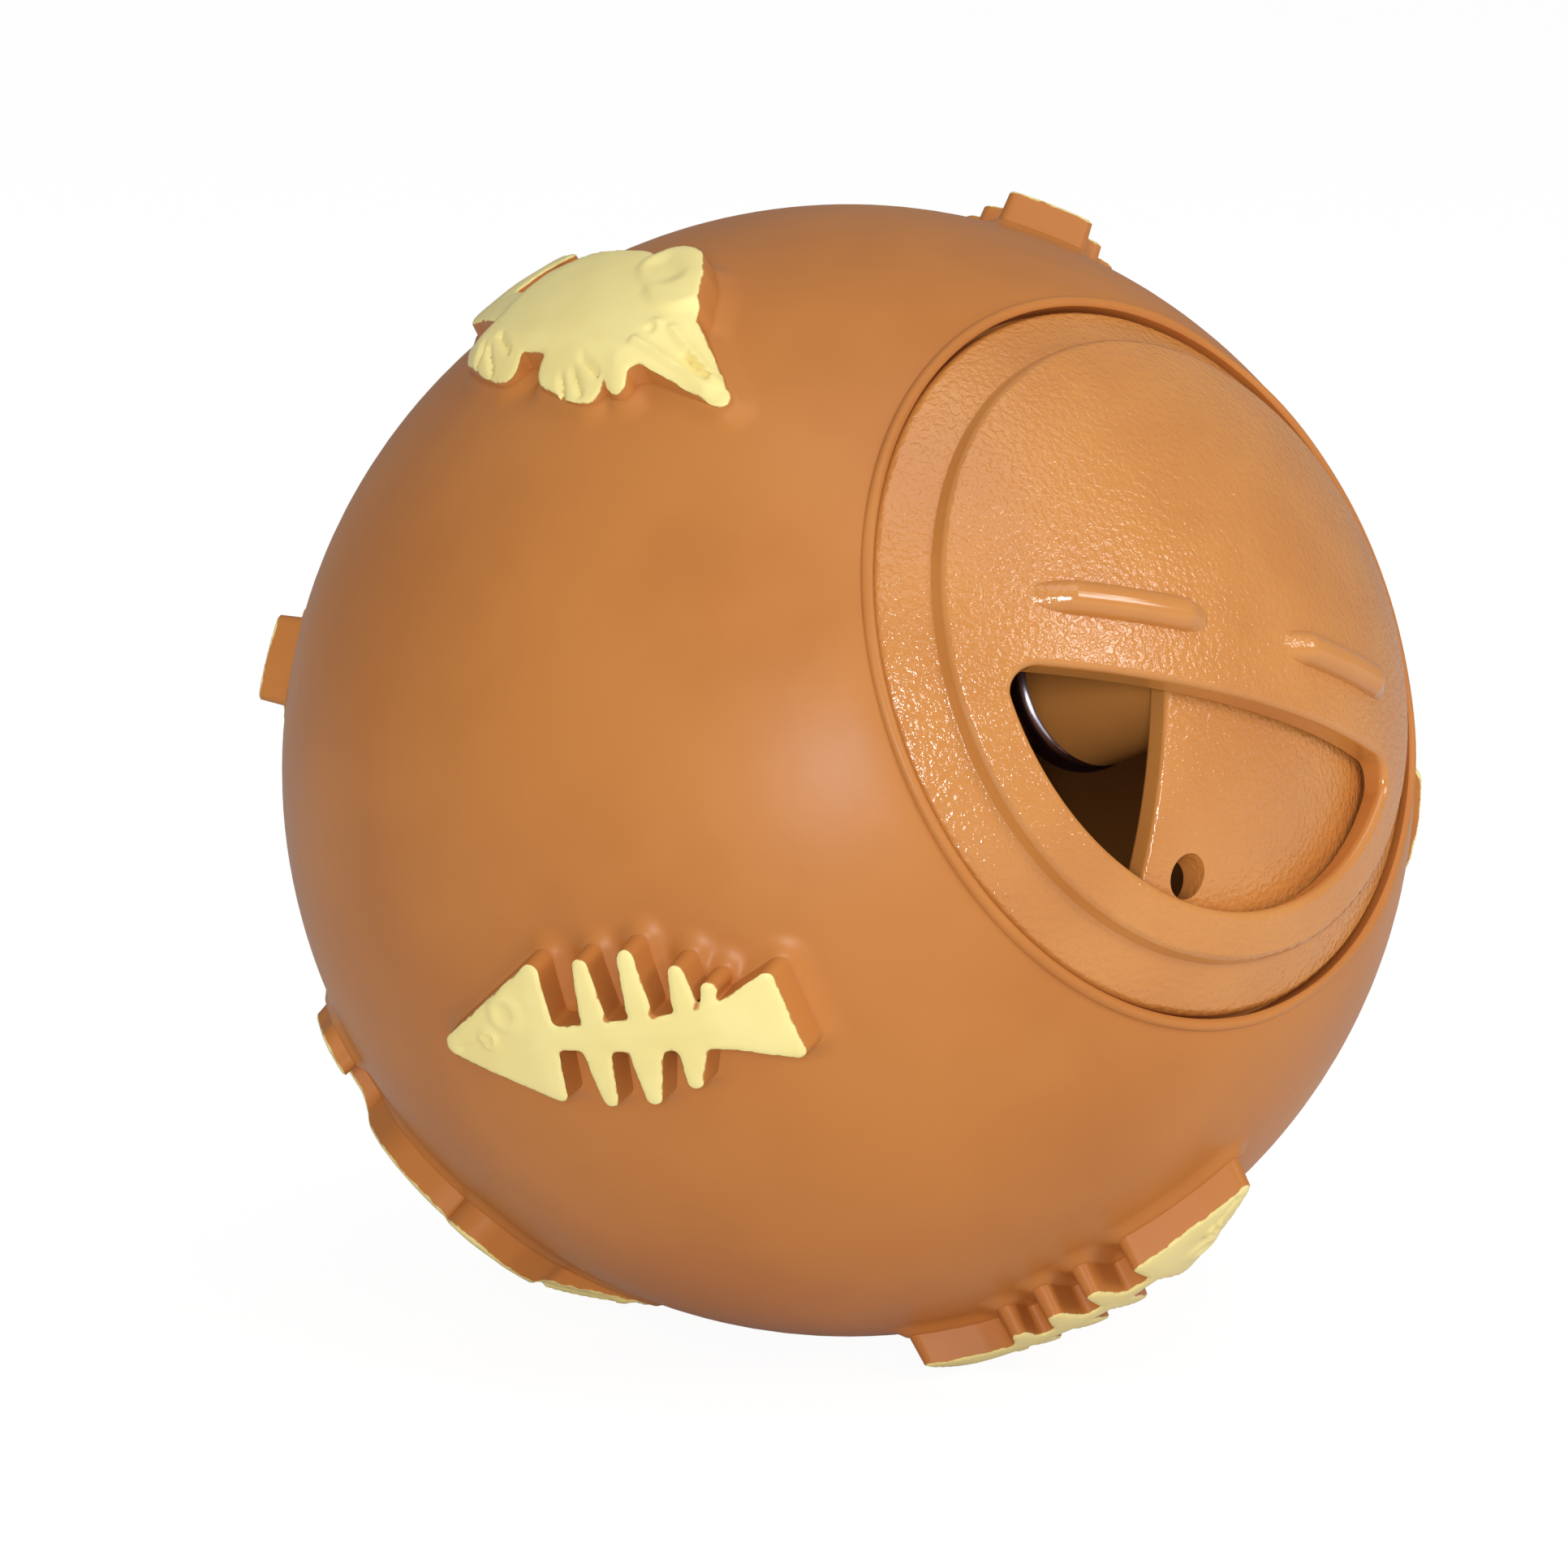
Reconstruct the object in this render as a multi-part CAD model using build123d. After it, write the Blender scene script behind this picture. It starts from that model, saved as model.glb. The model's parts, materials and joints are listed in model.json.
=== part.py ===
from build123d import *
import os
from math import acos, cos, degrees, radians, sin, sqrt

# Treat dispensing ball: a soft hollow ball with raised figures, a rigid cap pressed into its mouth,
# a shutter that turns behind the cap's half-moon window, and the screw that carries the shutter.
# Each piece is modelled with the cap's axis on +Z and the ball's centre at the origin, in millimetres.

# Ball
ball_diameter = 70.0
ball_wall = 2.2
relief_height = 2.5
fish_length = 23.2
mouse_length = 26.6

# Mouth of the ball: a stepped seat for the cap, with a rolled lip round it
mouth_gap = 0.2
throat_gap = 0.3
collar_height = 2.2
lip_width = 0.95
lip_rise = 0.5

# Cap: flange, raised disc and plug
flange_radius = 21.5
flange_width = 2.6
flange_thickness = 1.5
flange_sink = 0.5
flange_round = 0.6
disc_rise = 0.95
disc_round_share = 0.58
step_root_share = 0.15
disc_wall = 1.6
seat_width = 2.2
plug_wall = 1.5
plug_depth = 4.2
plug_round = 0.4

# Cap: half-moon window and finger ribs
window_margin = 2.7
window_chord = 4.5
window_corner = 1.4
window_edge_round = 0.4
rib_inner_end = 3.1
rib_outer_margin = 4.5
rib_offset = 0.4
rib_width = 2.0
rib_height = 1.0
rib_slope = 1.8
rib_end_round = 1.0
rib_round_share = 0.46

# Shutter and its pivot
shutter_gap = 0.3
shutter_rim_gap = 0.4
shutter_thickness = 1.6
shutter_chord = 4.6
shutter_corner = 1.0
shutter_edge_round = 0.3
hub_wall = 2.1
hub_length = 10.1
hub_root_round = 0.5
tool_hole_diameter = 2.5
tool_hole_inset = 1.9
post_radius = 3.0
pivot_clearance = 0.06
end_play = 0.15

# Pan head screw
screw_head_diameter = 10.5
screw_head_height = 2.8
screw_head_round = 1.7
screw_shoulder_round = 0.8
screw_shank_diameter = 3.2
screw_shank_length = 8.0
screw_tip = 0.8
screw_clearance = 0.02
screw_recess_width = 1.0
screw_recess_length = 4.4
screw_recess_depth = 1.5

# How everything lies at rest, in degrees: the cap looks to the front and rises above the horizon
cap_rise = 22.5
rib_line_turn = -17.0
shutter_opening_turn = 166.3
tool_hole_turn = 250.5

# One overrun for all cuts
overrun = 1.0

# Figures as groups of circles, (x, y, radius) in shares of the figure's length. The hull of each group is
# one limb. X runs from nose to tail on the fish and from rump to snout on the mouse.
fish_shares = [
    [(-0.472, -0.086, 0.030), (-0.187, 0.143, 0.025), (-0.172, -0.188, 0.022), (-0.160, -0.020, 0.018)],
    [(-0.140, -0.028, 0.032), (0.300, -0.002, 0.055)],
    [(0.300, -0.002, 0.053), (0.432, 0.108, 0.022), (0.478, -0.084, 0.021)],
    [(-0.028, 0.040, 0.036), (-0.040, 0.166, 0.022)],
    [(0.100, 0.060, 0.034), (0.087, 0.189, 0.023)],
    [(0.222, 0.070, 0.032), (0.214, 0.147, 0.021)],
    [(0.280, 0.055, 0.014), (0.291, 0.099, 0.021)],
    [(-0.034, -0.075, 0.038), (-0.028, -0.198, 0.021)],
    [(0.098, -0.070, 0.044), (0.092, -0.189, 0.022)],
    [(0.222, -0.065, 0.036), (0.211, -0.147, 0.021)],
]
# Parts of the mouse, each with the share of the relief's height at which it stands
mouse_part_shares = [
    (
        0.92,
        [
            [
                (-0.213, 0.004, 0.073),
                (-0.060, 0.036, 0.152),
                (0.033, 0.036, 0.160),
                (0.093, -0.033, 0.131),
                (-0.038, -0.044, 0.120),
            ],
        ],
    ),
    (1.0, [[(0.165, 0.165, 0.068), (0.215, 0.110, 0.075), (0.262, 0.060, 0.065)]]),
    (
        0.8,
        [
            [(0.234, -0.022, 0.112), (0.327, -0.076, 0.046), (0.373, -0.060, 0.058)],
            [(0.215, 0.110, 0.075), (0.270, 0.035, 0.070)],
            [(0.164, -0.055, 0.109), (0.278, -0.109, 0.046)],
        ],
    ),
    (0.45, [[(0.327, -0.076, 0.046), (0.373, -0.060, 0.058), (0.501, -0.113, 0.023)]]),
    (
        0.65,
        [
            [(-0.210, 0.005, 0.050), (-0.420, 0.049, 0.055)],
            [(-0.420, 0.049, 0.055), (-0.420, 0.142, 0.052)],
            [(-0.420, 0.142, 0.052), (-0.376, 0.218, 0.039)],
            [(-0.376, 0.218, 0.039), (-0.325, 0.231, 0.022)],
        ],
    ),
    (
        0.35,
        [
            [
                (-0.148, -0.055, 0.072),
                (-0.253, -0.136, 0.038),
                (-0.164, -0.158, 0.052),
                (-0.093, -0.177, 0.049),
            ],
            [(0.152, -0.100, 0.062), (0.152, -0.180, 0.062)],
            [(0.067, -0.192, 0.036), (0.131, -0.188, 0.052), (0.191, -0.196, 0.050)],
            [(0.256, -0.131, 0.033), (0.272, -0.178, 0.029)],
        ],
    ),
]

# Where the figures sit, in degrees: the angle from the cap's axis, the angle round that axis, and the
# figure's own turn. Five stand in a ring beside the mouth and five in a ring behind it.
fish_angles = [
    (75.2, 203.5, 157.4),
    (75.9, 272.8, -29.2),
    (78.8, 56.2, 145.0),
    (147.0, 129.0, 138.0),
    (126.0, 300.0, 120.0),
    (124.0, 76.0, 200.0),
]
mouse_angles = [
    (75.9, 126.2, 166.0),
    (75.5, 345.0, 166.0),
    (132.7, 225.0, 128.0),
    (130.0, 12.0, 40.0),
]


def ring_height(sphere_radius, ring_radius):
    """Height at which a sphere about the ball's centre has this ring radius."""
    return sqrt(sphere_radius**2 - ring_radius**2)


ball_radius = ball_diameter / 2
cavity_radius = ball_radius - ball_wall
wall_middle_radius = ball_radius - ball_wall / 2
flange_sphere = ball_radius - flange_sink
disc_sphere = flange_sphere + disc_rise
dome_sphere = disc_sphere - disc_wall
dome_middle_sphere = disc_sphere - disc_wall / 2
shutter_sphere = dome_sphere - shutter_gap
shutter_floor_sphere = shutter_sphere - shutter_thickness
mouth_radius = flange_radius + mouth_gap
disc_radius = flange_radius - flange_width
plug_radius = flange_radius - seat_width
throat_radius = plug_radius + throat_gap
bore_radius = plug_radius - plug_wall
window_radius = disc_radius - window_margin
rib_outer_end = disc_radius - rib_outer_margin
shutter_radius = bore_radius - shutter_rim_gap
hub_radius = post_radius + pivot_clearance + hub_wall
tool_hole_distance = window_radius - tool_hole_inset
seat_height = ring_height(flange_sphere, flange_radius) - flange_thickness
plug_bottom = seat_height - plug_depth
hub_end = shutter_floor_sphere - hub_length
post_end = hub_end - end_play


def column(radius, bottom, top):
    """Upright cylinder on the cap's axis between two heights."""
    return Pos(0, 0, bottom) * Cylinder(radius, top - bottom, align=(Align.CENTER, Align.CENTER, Align.MIN))


def on_sphere(ring_radius, sphere_radius):
    """Point of a half section where a sphere about the ball's centre has this ring radius."""
    return Vector(ring_radius, ring_height(sphere_radius, ring_radius))


def sphere_arc(sphere_radius, from_ring, to_ring):
    """Arc of a half section along a sphere about the ball's centre, between two ring radii."""
    start = degrees(acos(from_ring / sphere_radius))
    end = degrees(acos(to_ring / sphere_radius))
    return CenterArc((0, 0), sphere_radius, start, end - start)


def rounded(profile, point, radius):
    """Profile with its corner at a point rounded."""
    return fillet(profile.vertices().sort_by_distance(point)[0], radius)


def limb(circle_shares, length):
    """Flat hull round a few circles."""
    edges = []
    for x_share, y_share, radius_share in circle_shares:
        edges += (Pos(x_share * length, y_share * length) * Circle(radius_share * length)).edges()
    return make_hull(edges)


def raised(limb_shares, length, height):
    """Part of a figure on the ball's top point, from inside the ball's wall to its own height."""
    plan = Sketch() + [limb(circle_shares, length) for circle_shares in limb_shares]
    top_radius = ball_radius + height
    return extrude(plan, top_radius + overrun) & (Sphere(top_radius) - Sphere(wall_middle_radius))


def fish_figure():
    """Fish skeleton with its head, spine, tail and bones at one height."""
    return raised(fish_shares, fish_length, relief_height)


def mouse_figure():
    """Mouse seen from its side, with its head, tail and paws lower than its back and its ear."""
    parts = [
        raised(limb_shares, mouse_length, relief_height * height_share)
        for height_share, limb_shares in mouse_part_shares
    ]
    return parts[0] + parts[1:]


def placed(figure, angles):
    """Figure moved from the ball's top point to its place."""
    from_axis, round_axis, own_turn = angles
    return Rot(Z=round_axis) * Rot(Y=from_axis) * Rot(Z=own_turn) * figure


def make_ball_shell():
    """Hollow ball with its figures, the collar that carries the cap, and the rolled lip."""
    shell = Sphere(ball_radius) - Sphere(cavity_radius)
    collar_bottom = seat_height - collar_height
    collar = column(ball_radius, collar_bottom, seat_height) & Sphere(wall_middle_radius)
    lip_radius = lip_width / 2
    lip_ring = mouth_radius + lip_radius
    lip_middle = ring_height(ball_radius + lip_rise - lip_radius, lip_ring)
    shell += collar
    shell += Pos(0, 0, lip_middle) * Torus(lip_ring, lip_radius)
    shell -= column(mouth_radius, seat_height, ball_radius + lip_rise + overrun)
    shell -= column(throat_radius, collar_bottom - overrun, seat_height + overrun)
    fish = fish_figure()
    mouse = mouse_figure()
    figures = [placed(fish, angles) for angles in fish_angles]
    figures += [placed(mouse, angles) for angles in mouse_angles]
    return shell + figures


def cap_blank():
    """Cap before its window is cut: raised disc, step, flange, plug and inner dome."""
    step_top = on_sphere(disc_radius, disc_sphere)
    step_foot = on_sphere(disc_radius, flange_sphere)
    flange_top = on_sphere(flange_radius, flange_sphere)
    plug_foot = Vector(plug_radius, plug_bottom)
    edges = [
        sphere_arc(disc_sphere, 0, disc_radius),
        Line(step_top, step_foot),
        sphere_arc(flange_sphere, disc_radius, flange_radius),
        Polyline(
            flange_top,
            (flange_radius, seat_height),
            (plug_radius, seat_height),
            plug_foot,
            (bore_radius, plug_bottom),
            on_sphere(bore_radius, dome_sphere),
        ),
        sphere_arc(dome_sphere, bore_radius, 0),
        Line((0, dome_sphere), (0, disc_sphere)),
    ]
    profile = make_face(Curve() + edges)
    profile = rounded(profile, step_top, disc_rise * disc_round_share)
    profile = rounded(profile, step_foot, disc_rise * step_root_share)
    profile = rounded(profile, flange_top, flange_round)
    profile = rounded(profile, plug_foot, plug_round)
    return revolve(Plane.XZ * profile, Axis.Z)


def window_cutter():
    """Half-moon column with its straight side along X and rounded corners."""
    reach = 2 * window_radius
    below = Pos(0, -window_chord) * Rectangle(reach, reach, align=(Align.CENTER, Align.MAX))
    plan = Circle(window_radius) & below
    return extrude(fillet(plan.vertices(), window_corner), disc_sphere + overrun)


def finger_rib():
    """Rib along X that follows the dome, with sloping ends and a rounded back."""
    top_sphere = disc_sphere + rib_height
    inner_foot = on_sphere(rib_inner_end, disc_sphere)
    outer_foot = on_sphere(rib_outer_end, disc_sphere)
    inner_top = on_sphere(rib_inner_end + rib_slope, top_sphere)
    outer_top = on_sphere(rib_outer_end - rib_slope, top_sphere)
    root_share = disc_wall / 2 / rib_height
    inner_root = inner_foot + (inner_foot - inner_top) * root_share
    outer_root = outer_foot + (outer_foot - outer_top) * root_share
    edges = [
        Line(inner_root, inner_top),
        sphere_arc(top_sphere, inner_top.X, outer_top.X),
        Line(outer_top, outer_root),
        Line(outer_root, inner_root),
    ]
    profile = make_face(Curve() + edges)
    profile = rounded(profile, inner_top, rib_end_round)
    profile = rounded(profile, outer_top, rib_end_round)
    rib = extrude(Plane.XZ * profile, rib_width / 2, both=True)
    root_edges = rib.faces().sort_by(Axis.Z)[0].edges()
    back_edges = [
        edge for side in rib.faces().filter_by(Axis.Y) for edge in side.edges() if edge not in root_edges
    ]
    return fillet(back_edges, rib_width * rib_round_share)


def make_dispenser_cap():
    """Cap with its window, two finger ribs and the post that the shutter turns on."""
    blank = cap_blank()
    cutter = window_cutter()
    cap = blank - cutter
    outer_edges = [
        edge for edge in new_edges(blank, cutter, combined=cap)
        if min((edge @ 0).length, (edge @ 1).length) > dome_middle_sphere
    ]
    cap = fillet(outer_edges, window_edge_round)
    rib = finger_rib()
    cap += [Pos(0, -rib_offset) * end for end in (rib, Rot(Z=180) * rib)]
    cap += column(post_radius, post_end, dome_middle_sphere)
    hole_radius = screw_shank_diameter / 2 + screw_clearance
    cap -= column(hole_radius, post_end - overrun, post_end + screw_shank_length + end_play)
    return Rot(Z=rib_line_turn) * cap


def make_shutter():
    """Domed plate with one straight side, its long hub and the small hole it is turned by."""
    reach = 2 * shutter_radius
    kept = Pos(shutter_chord, 0) * Rectangle(reach, reach, align=(Align.MAX, Align.CENTER))
    plan = Circle(shutter_radius) & kept
    plan = fillet(plan.vertices(), shutter_corner)
    plan += Circle(hub_radius)
    waist = plan.vertices().sort_by_distance((hub_radius, 0))[0:2]
    plan = fillet(waist, hub_root_round)
    plate = extrude(plan, shutter_sphere + overrun)
    plate &= Sphere(shutter_sphere) - Sphere(shutter_floor_sphere)
    plate = fillet(plate.faces().sort_by(Axis.Z)[-1].edges(), shutter_edge_round)
    hub = column(hub_radius, hub_end, shutter_sphere) & Sphere(shutter_sphere - shutter_thickness / 2)
    shutter = Rot(Z=shutter_opening_turn) * (plate + hub)
    shutter -= column(post_radius + pivot_clearance, hub_end - overrun, shutter_sphere + overrun)
    turn = radians(tool_hole_turn)
    hole = column(tool_hole_diameter / 2, plug_bottom, shutter_sphere + overrun)
    return shutter - Pos(tool_hole_distance * cos(turn), tool_hole_distance * sin(turn)) * hole


def make_pivot_screw():
    """Pan head screw with a cross recess, driven into the post from inside the ball."""
    head_face = post_end - screw_head_height
    head = column(screw_head_diameter / 2, head_face, post_end)
    head = fillet(head.edges().sort_by(Axis.Z)[0], screw_head_round)
    head = fillet(head.edges().sort_by(Axis.Z)[-1], screw_shoulder_round)
    shank = column(screw_shank_diameter / 2, post_end, post_end + screw_shank_length)
    shank = chamfer(shank.edges().sort_by(Axis.Z)[-1], screw_tip)
    recess = Pos(0, 0, head_face) * Box(screw_recess_length, screw_recess_width, 2 * screw_recess_depth)
    return head + shank - recess - Rot(Z=90) * recess


pieces = {
    "ball_shell": make_ball_shell(),
    "dispenser_cap": make_dispenser_cap(),
    "shutter": make_shutter(),
    "pivot_screw": make_pivot_screw(),
}

# The ball stands on the top of its lowest figure, with the origin on the floor under its middle
standing = {name: Rot(X=90 - cap_rise) * piece for name, piece in pieces.items()}
box = Compound(list(standing.values())).bounding_box()
to_floor = Pos(-box.center().X, -box.center().Y, -box.min.Z)

os.makedirs("parts", exist_ok=True)
for name, piece in standing.items():
    export_step(to_floor * piece, f"parts/{name}.step")
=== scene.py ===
"""Looks of a treat dispensing ball: skin, painted figures, cap, shutter and screw, in a plain studio."""

from __future__ import annotations

import json
import logging
import math
from collections.abc import Iterable, Sequence
from dataclasses import dataclass, field
from enum import Enum
from typing import Any

import bmesh
import bpy
import numpy as np
from bmesh.types import BMesh, BMVert
from mathutils import Matrix, Vector, noise

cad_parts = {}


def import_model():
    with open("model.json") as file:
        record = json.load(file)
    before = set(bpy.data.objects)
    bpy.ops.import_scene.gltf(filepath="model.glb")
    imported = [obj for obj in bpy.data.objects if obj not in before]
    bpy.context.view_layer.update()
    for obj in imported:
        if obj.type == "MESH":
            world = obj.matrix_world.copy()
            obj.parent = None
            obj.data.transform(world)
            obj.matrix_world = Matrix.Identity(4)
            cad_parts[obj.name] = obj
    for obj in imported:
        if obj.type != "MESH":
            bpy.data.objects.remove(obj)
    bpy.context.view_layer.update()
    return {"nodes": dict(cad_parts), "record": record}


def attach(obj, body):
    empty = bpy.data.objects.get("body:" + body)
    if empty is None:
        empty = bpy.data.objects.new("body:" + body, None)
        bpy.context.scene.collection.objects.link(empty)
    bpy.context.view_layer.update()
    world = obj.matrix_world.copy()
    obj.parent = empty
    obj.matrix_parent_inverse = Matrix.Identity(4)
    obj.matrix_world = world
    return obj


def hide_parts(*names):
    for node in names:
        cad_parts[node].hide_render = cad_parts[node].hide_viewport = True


Colour = tuple[int, int, int]
Spot = tuple[float, float]
Span = tuple[float, float]
Circle = tuple[float, float, float]
Settings = dict[str, Any] | None
Inputs = dict[str | int, Any] | None

LOG = logging.getLogger("treat_ball")
MM = 0.001
TINY = 1e-12
GRAIN_MEAN = 0.5
WHITE = (1.0, 1.0, 1.0, 1.0)
SHARP_TURN = math.radians(40)
BALL_BODY = "ball"
PAINT_ATTRIBUTE = "paint_reach"
PEBBLE_ATTRIBUTE = "pebble_share"


class Node(Enum):
    """Nodes of the frame."""

    BALL = "ball_shell"
    CAP = "dispenser_cap"
    SHUTTER = "shutter"
    SCREW = "pivot_screw"


def linear(red: int, green: int, blue: int) -> tuple[float, float, float, float]:
    """Turn a display colour into a shader colour.

    Args:
        red: Red, from 0 to 255.
        green: Green, from 0 to 255.
        blue: Blue, from 0 to 255.

    Returns:
        The colour in linear light, with full alpha.
    """
    channels = [value / 255 for value in (red, green, blue)]
    light = [c / 12.92 if c <= 0.04045 else ((c + 0.055) / 1.055) ** 2.4 for c in channels]
    return (light[0], light[1], light[2], 1.0)


def smooth_step(values: np.ndarray, low: float, high: float) -> np.ndarray:
    """Ease from 0 at low to 1 at high.

    Args:
        values: Numbers to ease.
        low: Where the rise starts.
        high: Where the rise ends.

    Returns:
        An array of the same shape, between 0 and 1.
    """
    share = np.clip((values - low) / (high - low), 0.0, 1.0)
    return share * share * (3 - 2 * share)


def bell(distances: np.ndarray, width: float) -> np.ndarray:
    """Give a soft bump that is 1 at distance 0 and fades over the width."""
    return np.exp(-((distances / width) ** 2))


def soft_min(first: np.ndarray, second: np.ndarray, blend: float) -> np.ndarray:
    """Take the lesser of two distance fields, with a rounded inside corner where they meet.

    Args:
        first: Distances to one shape.
        second: Distances to the other shape.
        blend: How far the rounding reaches.

    Returns:
        Distances to the joined shape.
    """
    overlap = np.clip(blend - np.abs(first - second), 0.0, None) / blend
    return np.minimum(first, second) - overlap * overlap * blend / 4


def away_from_ball(azimuth: float, elevation: float) -> Vector:
    """Give the direction from the ball to a lamp or to the camera.

    Args:
        azimuth: Degrees round the ball, from its front to its right.
        elevation: Degrees above the horizon.

    Returns:
        A unit vector.
    """
    turn, rise = math.radians(azimuth), math.radians(elevation)
    return Vector((math.sin(turn) * math.cos(rise), -math.cos(turn) * math.cos(rise), math.sin(rise)))


class Signal:
    """A shader socket that can be added, subtracted and multiplied as a number."""

    def __init__(self, graph: ShaderGraph, socket: bpy.types.NodeSocket) -> None:
        """Keep the graph that makes new nodes and the socket that holds the value."""
        self.graph = graph
        self.socket = socket

    def _math(self, operation: str, first: Any, second: Any) -> Signal:
        """Add one Math node and give its result."""
        node = self.graph.node("ShaderNodeMath", {"operation": operation}, {0: first, 1: second})
        return Signal(self.graph, node.outputs[0])

    def __add__(self, other: Signal | float) -> Signal:
        """Sum."""
        return self._math("ADD", self, other)

    def __radd__(self, other: float) -> Signal:
        """Sum with a number on the left."""
        return self._math("ADD", other, self)

    def __sub__(self, other: Signal | float) -> Signal:
        """Difference."""
        return self._math("SUBTRACT", self, other)

    def __rsub__(self, other: float) -> Signal:
        """Difference with a number on the left."""
        return self._math("SUBTRACT", other, self)

    def __mul__(self, other: Signal | float) -> Signal:
        """Product."""
        return self._math("MULTIPLY", self, other)

    def __rmul__(self, other: float) -> Signal:
        """Product with a number on the left."""
        return self._math("MULTIPLY", other, self)


class ShaderGraph:
    """Material whose nodes are added one call at a time."""

    def __init__(self, name: str) -> None:
        """Start an empty material.

        Args:
            name: Name of the material.
        """
        self.material = bpy.data.materials.new(name)
        self.material.use_nodes = True
        self.tree = self.material.node_tree
        self.tree.nodes.clear()

    def node(self, kind: str, settings: Settings = None, inputs: Inputs = None) -> bpy.types.Node:
        """Add a node.

        Args:
            kind: Node type.
            settings: Properties of the node, set first.
            inputs: Values or links of its sockets, by name or number.

        Returns:
            The new node.
        """
        made = self.tree.nodes.new(kind)
        for key, value in (settings or {}).items():
            setattr(made, key, value)
        for key, value in (inputs or {}).items():
            if isinstance(value, Signal):
                self.tree.links.new(value.socket, made.inputs[key])
            else:
                made.inputs[key].default_value = value
        return made

    def signal(
        self, kind: str, output: str | int, settings: Settings = None, inputs: Inputs = None
    ) -> Signal:
        """Add a node and give one of its outputs as a signal."""
        return Signal(self, self.node(kind, settings, inputs).outputs[output])

    def place(self) -> Signal:
        """Give the Object coordinates, in metres."""
        return self.signal("ShaderNodeTexCoord", "Object")

    def grain(self, size: float, detail: float = 2.0) -> Signal:
        """Give noise with a mean of about one half.

        Args:
            size: Size of one cell, in metres.
            detail: Octaves added on top of the first.

        Returns:
            The noise value.
        """
        inputs = {"Vector": self.place(), "Scale": 1 / size, "Detail": detail}
        return self.signal("ShaderNodeTexNoise", "Fac", {"noise_dimensions": "3D"}, inputs)

    def cells(self, size: float) -> Signal:
        """Give the distance to the nearest of scattered points, in cells."""
        inputs = {"Vector": self.place(), "Scale": 1 / size}
        return self.signal("ShaderNodeTexVoronoi", "Distance", {"feature": "F1"}, inputs)

    def ramp(self, value: Signal, low: float, high: float, start: float = 0.0, end: float = 1.0) -> Signal:
        """Ease a value from start at low to end at high.

        Args:
            value: Signal to ease.
            low: Input at which the ease starts.
            high: Input at which it ends.
            start: Result at low.
            end: Result at high.

        Returns:
            The eased signal.
        """
        inputs = {"Value": value, "From Min": low, "From Max": high, "To Min": start, "To Max": end}
        return self.signal("ShaderNodeMapRange", "Result", {"interpolation_type": "SMOOTHSTEP"}, inputs)

    def blend(self, factor: Signal, first: Any, second: Any) -> Signal:
        """Mix two colours.

        Args:
            factor: 0 for the first colour, 1 for the second.
            first: Colour or signal.
            second: Colour or signal.

        Returns:
            The mixed colour.
        """
        inputs = {"Factor": factor, 6: first, 7: second}
        return self.signal("ShaderNodeMix", 2, {"data_type": "RGBA"}, inputs)

    def attribute(self, name: str) -> Signal:
        """Give a number that is stored on the mesh's points."""
        return self.signal("ShaderNodeAttribute", "Fac", {"attribute_name": name})

    def bump(self, height: Signal, distance: float) -> Signal:
        """Turn a height of about 0 to 1, where 1 stands for the distance in metres, into a normal."""
        return self.signal("ShaderNodeBump", "Normal", None, {"Height": height, "Distance": distance})

    def close(self, **inputs: Any) -> bpy.types.Material:
        """Feed a Principled shader and the material's output.

        Args:
            inputs: Values or signals by socket name, with underscores for spaces.

        Returns:
            The finished material.
        """
        named = {key.replace("_", " "): value for key, value in inputs.items()}
        shader = self.signal("ShaderNodeBsdfPrincipled", 0, None, named)
        self.node("ShaderNodeOutputMaterial", None, {"Surface": shader})
        return self.material


@dataclass(frozen=True)
class VinylFinish:
    """Soft satin vinyl with faint mottling, sparse specks and a fine orange peel."""

    colour: Colour = (199, 128, 64)
    shade: Colour = (187, 117, 57)
    speck: Colour = (120, 72, 40)
    mottle_size: float = 16 * MM
    mottle_span: Span = (0.3, 0.7)
    speck_spacing: float = 7 * MM
    speck_span: Span = (0.012, 0.03)
    speck_patch_span: Span = (0.5, 0.6)
    sheen_size: float = 4 * MM
    sheen_swing: float = 0.1
    peel_size: float = 1.1 * MM
    peel_height: float = 0.012 * MM
    roughness: float = 0.38
    gleam: float = 0.25

    def skin_colour(self, graph: ShaderGraph) -> Signal:
        """Give the vinyl's colour over the surface.

        Args:
            graph: Material that takes the nodes.

        Returns:
            The colour.
        """
        mottle = graph.ramp(graph.grain(self.mottle_size, detail=3), *self.mottle_span)
        base = graph.blend(mottle, linear(*self.shade), linear(*self.colour))
        dots = graph.ramp(graph.cells(self.speck_spacing), *self.speck_span, start=1.0, end=0.0)
        patches = graph.ramp(graph.grain(self.mottle_size), *self.speck_patch_span)
        return graph.blend(dots * patches, base, linear(*self.speck))

    def skin_roughness(self, graph: ShaderGraph) -> Signal:
        """Give the vinyl's roughness over the surface."""
        sheen = self.sheen_swing * graph.grain(self.sheen_size, detail=4)
        return self.roughness - self.sheen_swing * GRAIN_MEAN + sheen

    def peel(self, graph: ShaderGraph) -> Signal:
        """Give the normal of the vinyl's fine orange peel."""
        return graph.bump(graph.grain(self.peel_size, detail=3), self.peel_height)

    def material(self) -> bpy.types.Material:
        """Make the plain vinyl.

        Returns:
            The material.
        """
        graph = ShaderGraph("satin_vinyl")
        return graph.close(
            Base_Color=self.skin_colour(graph),
            Roughness=self.skin_roughness(graph),
            Specular_IOR_Level=self.gleam,
            Normal=self.peel(graph),
        )


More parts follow.
